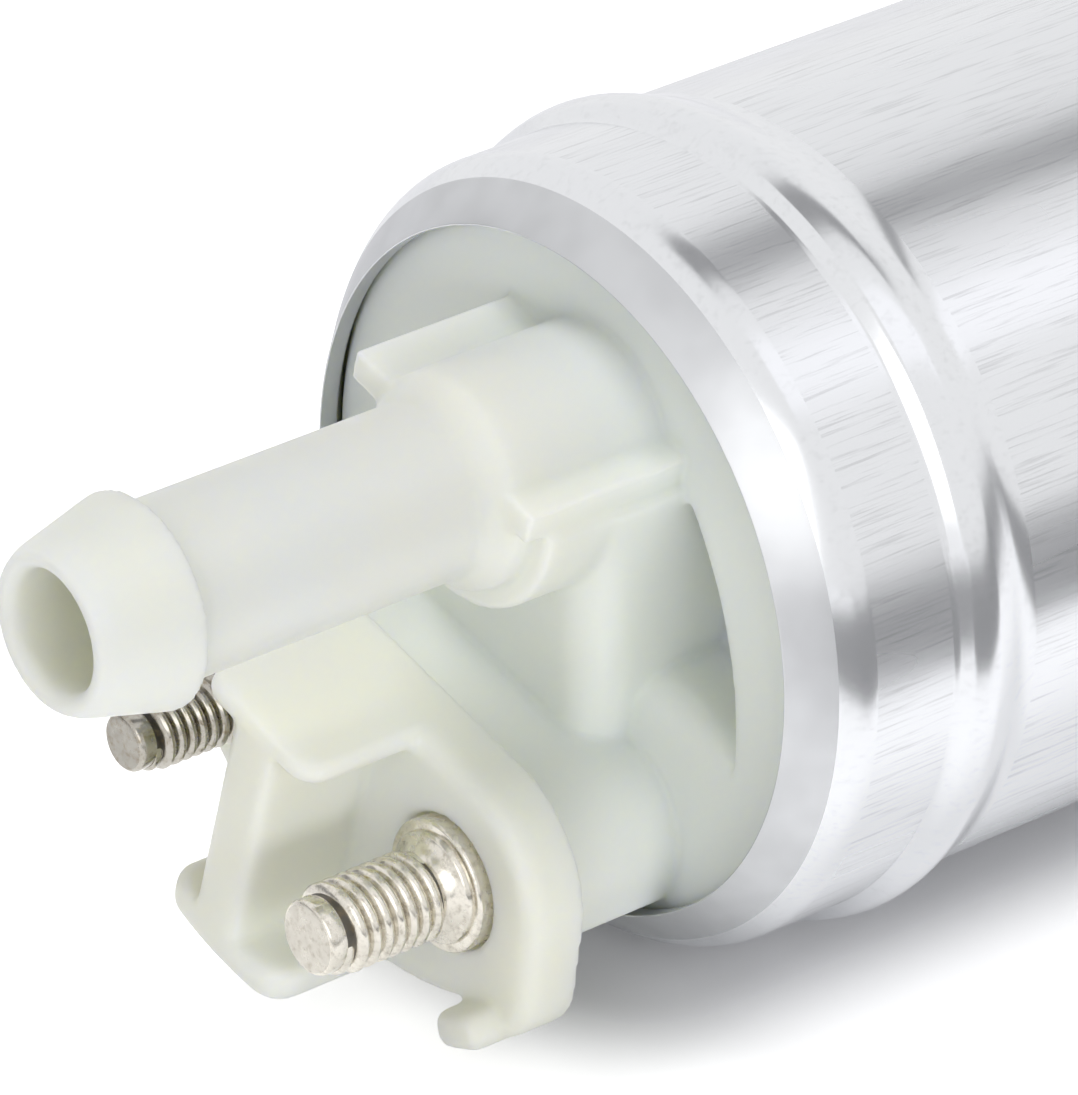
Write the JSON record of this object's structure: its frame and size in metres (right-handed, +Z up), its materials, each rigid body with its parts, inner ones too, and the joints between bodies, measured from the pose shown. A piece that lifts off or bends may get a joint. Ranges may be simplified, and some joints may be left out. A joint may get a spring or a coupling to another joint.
{
  "type": "electric fuel pump",
  "caption": "In-tank electric fuel pump with an aluminium barrel, plastic outlet cover, barbed nozzle, threaded terminals and rotor pumping pair.",
  "frame": {"origin": "point on the pump's axis in the barrel, 60 mm behind the barrel's front edge", "axes": "+Y along the barrel from the outlet end to the inlet end, +Z up, +X to the right seen from the outlet end"},
  "size_m": [0.045, 0.159, 0.045],
  "materials": {
    "casing_aluminium": "drawn tube, fine brushing along the axis",
    "ivory_acetal": "smooth moulded, faint sheen",
    "plated_steel": "nickel plated, thread grooves darker",
    "seal_rubber": "matt black",
    "spring_steel": "bright wire",
    "valve_plastic": "smooth moulded",
    "turned_brass": "fine turned",
    "ball_steel": "polished",
    "contact_copper": "rolled strip",
    "carbon": "matt pressed carbon",
    "sintered_bronze": "porous, oiled",
    "core_steel": "stacked laminations",
    "winding_copper": "enamelled wire",
    "ferrite": "ground ceramic",
    "back_iron_steel": "zinc plated",
    "pump_aluminium": "fine machined",
    "rotor_steel": "sintered and ground"
  },
  "bodies": {
    "housing": {"bearing_plate": "pump_aluminium", "check_valve_guide": "valve_plastic", "check_valve_seat": "turned_brass", "check_valve_spring": "spring_steel", "cover_seal": "seal_rubber", "flux_ring": "back_iron_steel", "inlet_cover": "pump_aluminium", "inlet_seal": "seal_rubber", "lower_bearing": "sintered_bronze", "magnet_clips": "spring_steel", "magnet_left": "ferrite", "magnet_right": "ferrite", "negative_brush": "carbon", "negative_brush_spring": "spring_steel", "negative_strap": "contact_copper", "negative_stud": "plated_steel", "outlet_cover": "ivory_acetal", "positive_brush": "carbon", "positive_brush_spring": "spring_steel", "positive_strap": "contact_copper", "positive_stud": "plated_steel", "relief_valve_plug": "turned_brass", "relief_valve_spring": "spring_steel", "rotor_ring": "rotor_steel", "shell": "casing_aluminium", "thrust_button": "valve_plastic", "upper_bearing": "sintered_bronze"},
    "rotor": {"armature_shaft": "rotor_steel", "drive_pin": "rotor_steel", "armature_core": "core_steel", "armature_windings": "winding_copper", "commutator": "contact_copper", "inner_rotor": "rotor_steel"},
    "outer_rotor": {"outer_rotor": "rotor_steel"},
    "check_valve": {"check_valve_poppet": "valve_plastic"},
    "relief_valve": {"relief_valve_ball": "ball_steel"}
  },
  "joints": [
    {"name": "rotor_spin", "type": "hinge", "parent": "housing", "child": "rotor", "pos_m": [0, 0, 0], "axis": [0, 1, 0], "continuous": true},
    {"name": "outer_rotor_spin", "type": "hinge", "parent": "housing", "child": "outer_rotor", "pos_m": [-0.00115, 0.036, 0], "axis": [0, 1, 0], "continuous": true},
    {"name": "check_valve_lift", "type": "slide", "parent": "housing", "child": "check_valve", "axis": [0, -1, 0], "range_m": [0, 0.002], "stiffness_N_per_m": 60, "springref_m": -0.003, "deforming": ["check_valve_spring"]},
    {"name": "relief_valve_lift", "type": "slide", "parent": "housing", "child": "relief_valve", "axis": [0, 1, 0], "range_m": [0, 0.0015], "stiffness_N_per_m": 1200, "springref_m": -0.003, "deforming": ["relief_valve_spring"]}
  ],
  "couplings": [
    {"joint": "outer_rotor_spin", "follows": "rotor_spin", "ratio": 0.85714}
  ]
}
